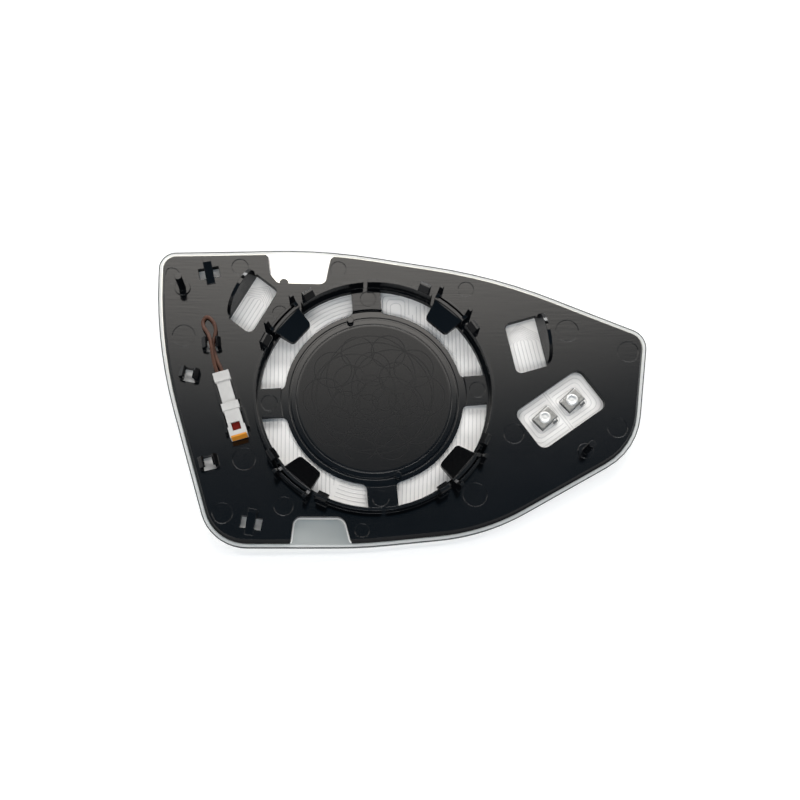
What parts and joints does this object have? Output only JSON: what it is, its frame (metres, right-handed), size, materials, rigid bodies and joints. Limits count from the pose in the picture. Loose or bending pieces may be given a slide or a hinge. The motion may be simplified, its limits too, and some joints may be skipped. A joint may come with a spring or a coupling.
{
  "type": "car door mirror glass",
  "caption": "Heated convex door mirror glass on a black clip-in backing plate, with heater foil, folded terminals, a parked connector and a looped jumper wire.",
  "frame": {"origin": "centre of the snap ring, on the flat seat face of the backing plate", "axes": "+Z out of the back, away from the mirror face; +X along the long side, towards the narrow end"},
  "size_m": [0.1927, 0.1202, 0.0189],
  "materials": {
    "mirror_glass": "silvered convex glass with ground edges",
    "heater_foil": "off-white film with fine printed heater tracks",
    "black_plastic": "satin black moulded plastic",
    "terminal_metal": "tinned folded sheet metal",
    "rivet_metal": "bright rivet head",
    "white_plastic": "white moulded plastic",
    "contact_metal": "plain contact metal",
    "red_plastic": "dark red moulded plastic",
    "amber_plastic": "amber moulded plastic",
    "wire_jacket": "brown wire jacket"
  },
  "bodies": {
    "root": {"mirror_glass": "mirror_glass", "heater_foil": "heater_foil", "backing_plate": "black_plastic", "heater_terminal_left": "terminal_metal", "heater_terminal_right": "terminal_metal", "terminal_rivet_left": "rivet_metal", "terminal_rivet_right": "rivet_metal", "connector_housing": "white_plastic", "connector_contact_left": "contact_metal", "connector_contact_right": "contact_metal", "connector_lock": "red_plastic", "connector_retainer": "amber_plastic", "jumper_wire": "wire_jacket"}
  },
  "joints": []
}
